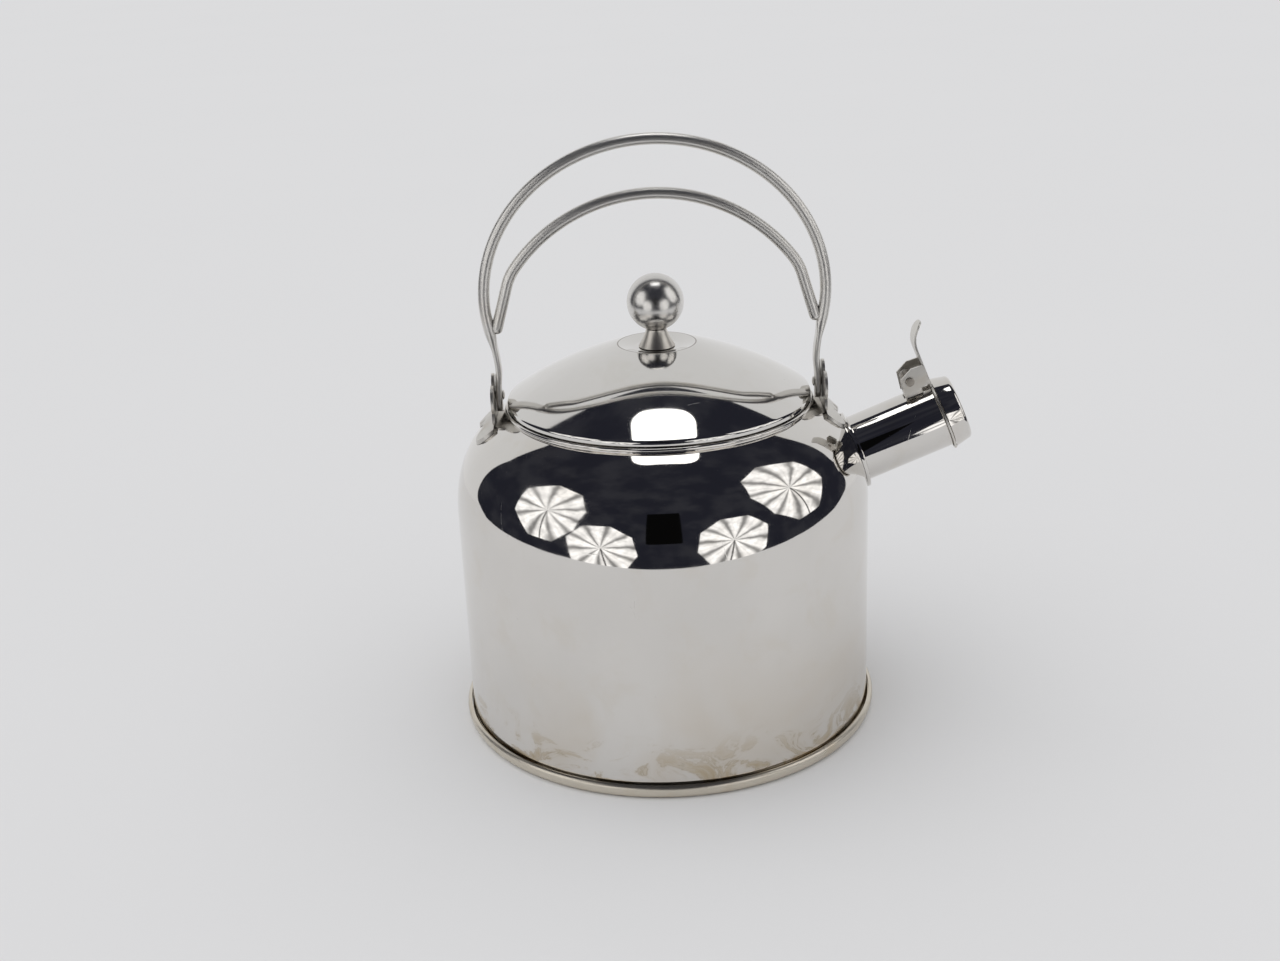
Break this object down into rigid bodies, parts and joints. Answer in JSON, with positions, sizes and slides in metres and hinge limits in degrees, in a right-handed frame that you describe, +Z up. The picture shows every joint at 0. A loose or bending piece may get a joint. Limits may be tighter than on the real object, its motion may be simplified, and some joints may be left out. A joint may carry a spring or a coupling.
{
  "type": "kettle",
  "caption": "Polished steel stove kettle with a swinging double-arch wire handle, lift-off ball-knob lid and straight spout with a sprung whistle cap.",
  "frame": {"origin": "centre of the flat base, on the surface the kettle stands on", "axes": "+Z up along the body's axis, +X towards the spout; the handle and the spout's axis lie in the XZ plane"},
  "size_m": [0.2355, 0.1916, 0.2648],
  "materials": {
    "mirror_steel": "mirror-polished stainless steel with faint water marks",
    "wire_steel": "polished steel wire",
    "drawn_steel": "bright drawn steel, a little duller than the mirror faces",
    "stamped_steel": "stamped steel sheet, lightly polished and tarnished in its corners",
    "fixings": "plain bright steel"
  },
  "bodies": {
    "kettle": {"body_shell": "mirror_steel", "base_pan": "drawn_steel", "spout_tube": "mirror_steel", "spout_flange": "mirror_steel", "hinge_bracket": "stamped_steel", "hinge_pin": "fixings", "cap_spring": "fixings", "ear_front": "stamped_steel", "ear_rear": "stamped_steel", "ear_rivet_front": "stamped_steel", "ear_rivet_rear": "stamped_steel"},
    "lid": {"lid_shell": "mirror_steel", "lid_skirt": "drawn_steel", "knob_stem": "mirror_steel", "knob_ball": "mirror_steel", "knob_washer": "fixings", "knob_screw": "fixings"},
    "handle": {"handle_outer_arch": "wire_steel", "handle_inner_arch": "wire_steel"},
    "cap": {"cap_shell": "mirror_steel", "whistle_plate": "drawn_steel", "cap_lever": "stamped_steel"}
  },
  "joints": [
    {"name": "lid_lift", "type": "slide", "parent": "kettle", "child": "lid", "axis": [0, 0, 1], "range_m": [0, 0.028]},
    {"name": "handle_swing", "type": "hinge", "parent": "kettle", "child": "handle", "pos_m": [0, 0, 0.1525], "axis": [1, 0, 0], "range_deg": [-80, 80]},
    {"name": "cap_flip", "type": "hinge", "parent": "kettle", "child": "cap", "pos_m": [0.11099, 0, 0.15201], "axis": [0, -1, 0], "range_deg": [0, 70], "stiffness_Nm_per_rad": 0.03, "springref_deg": -57.3}
  ]
}
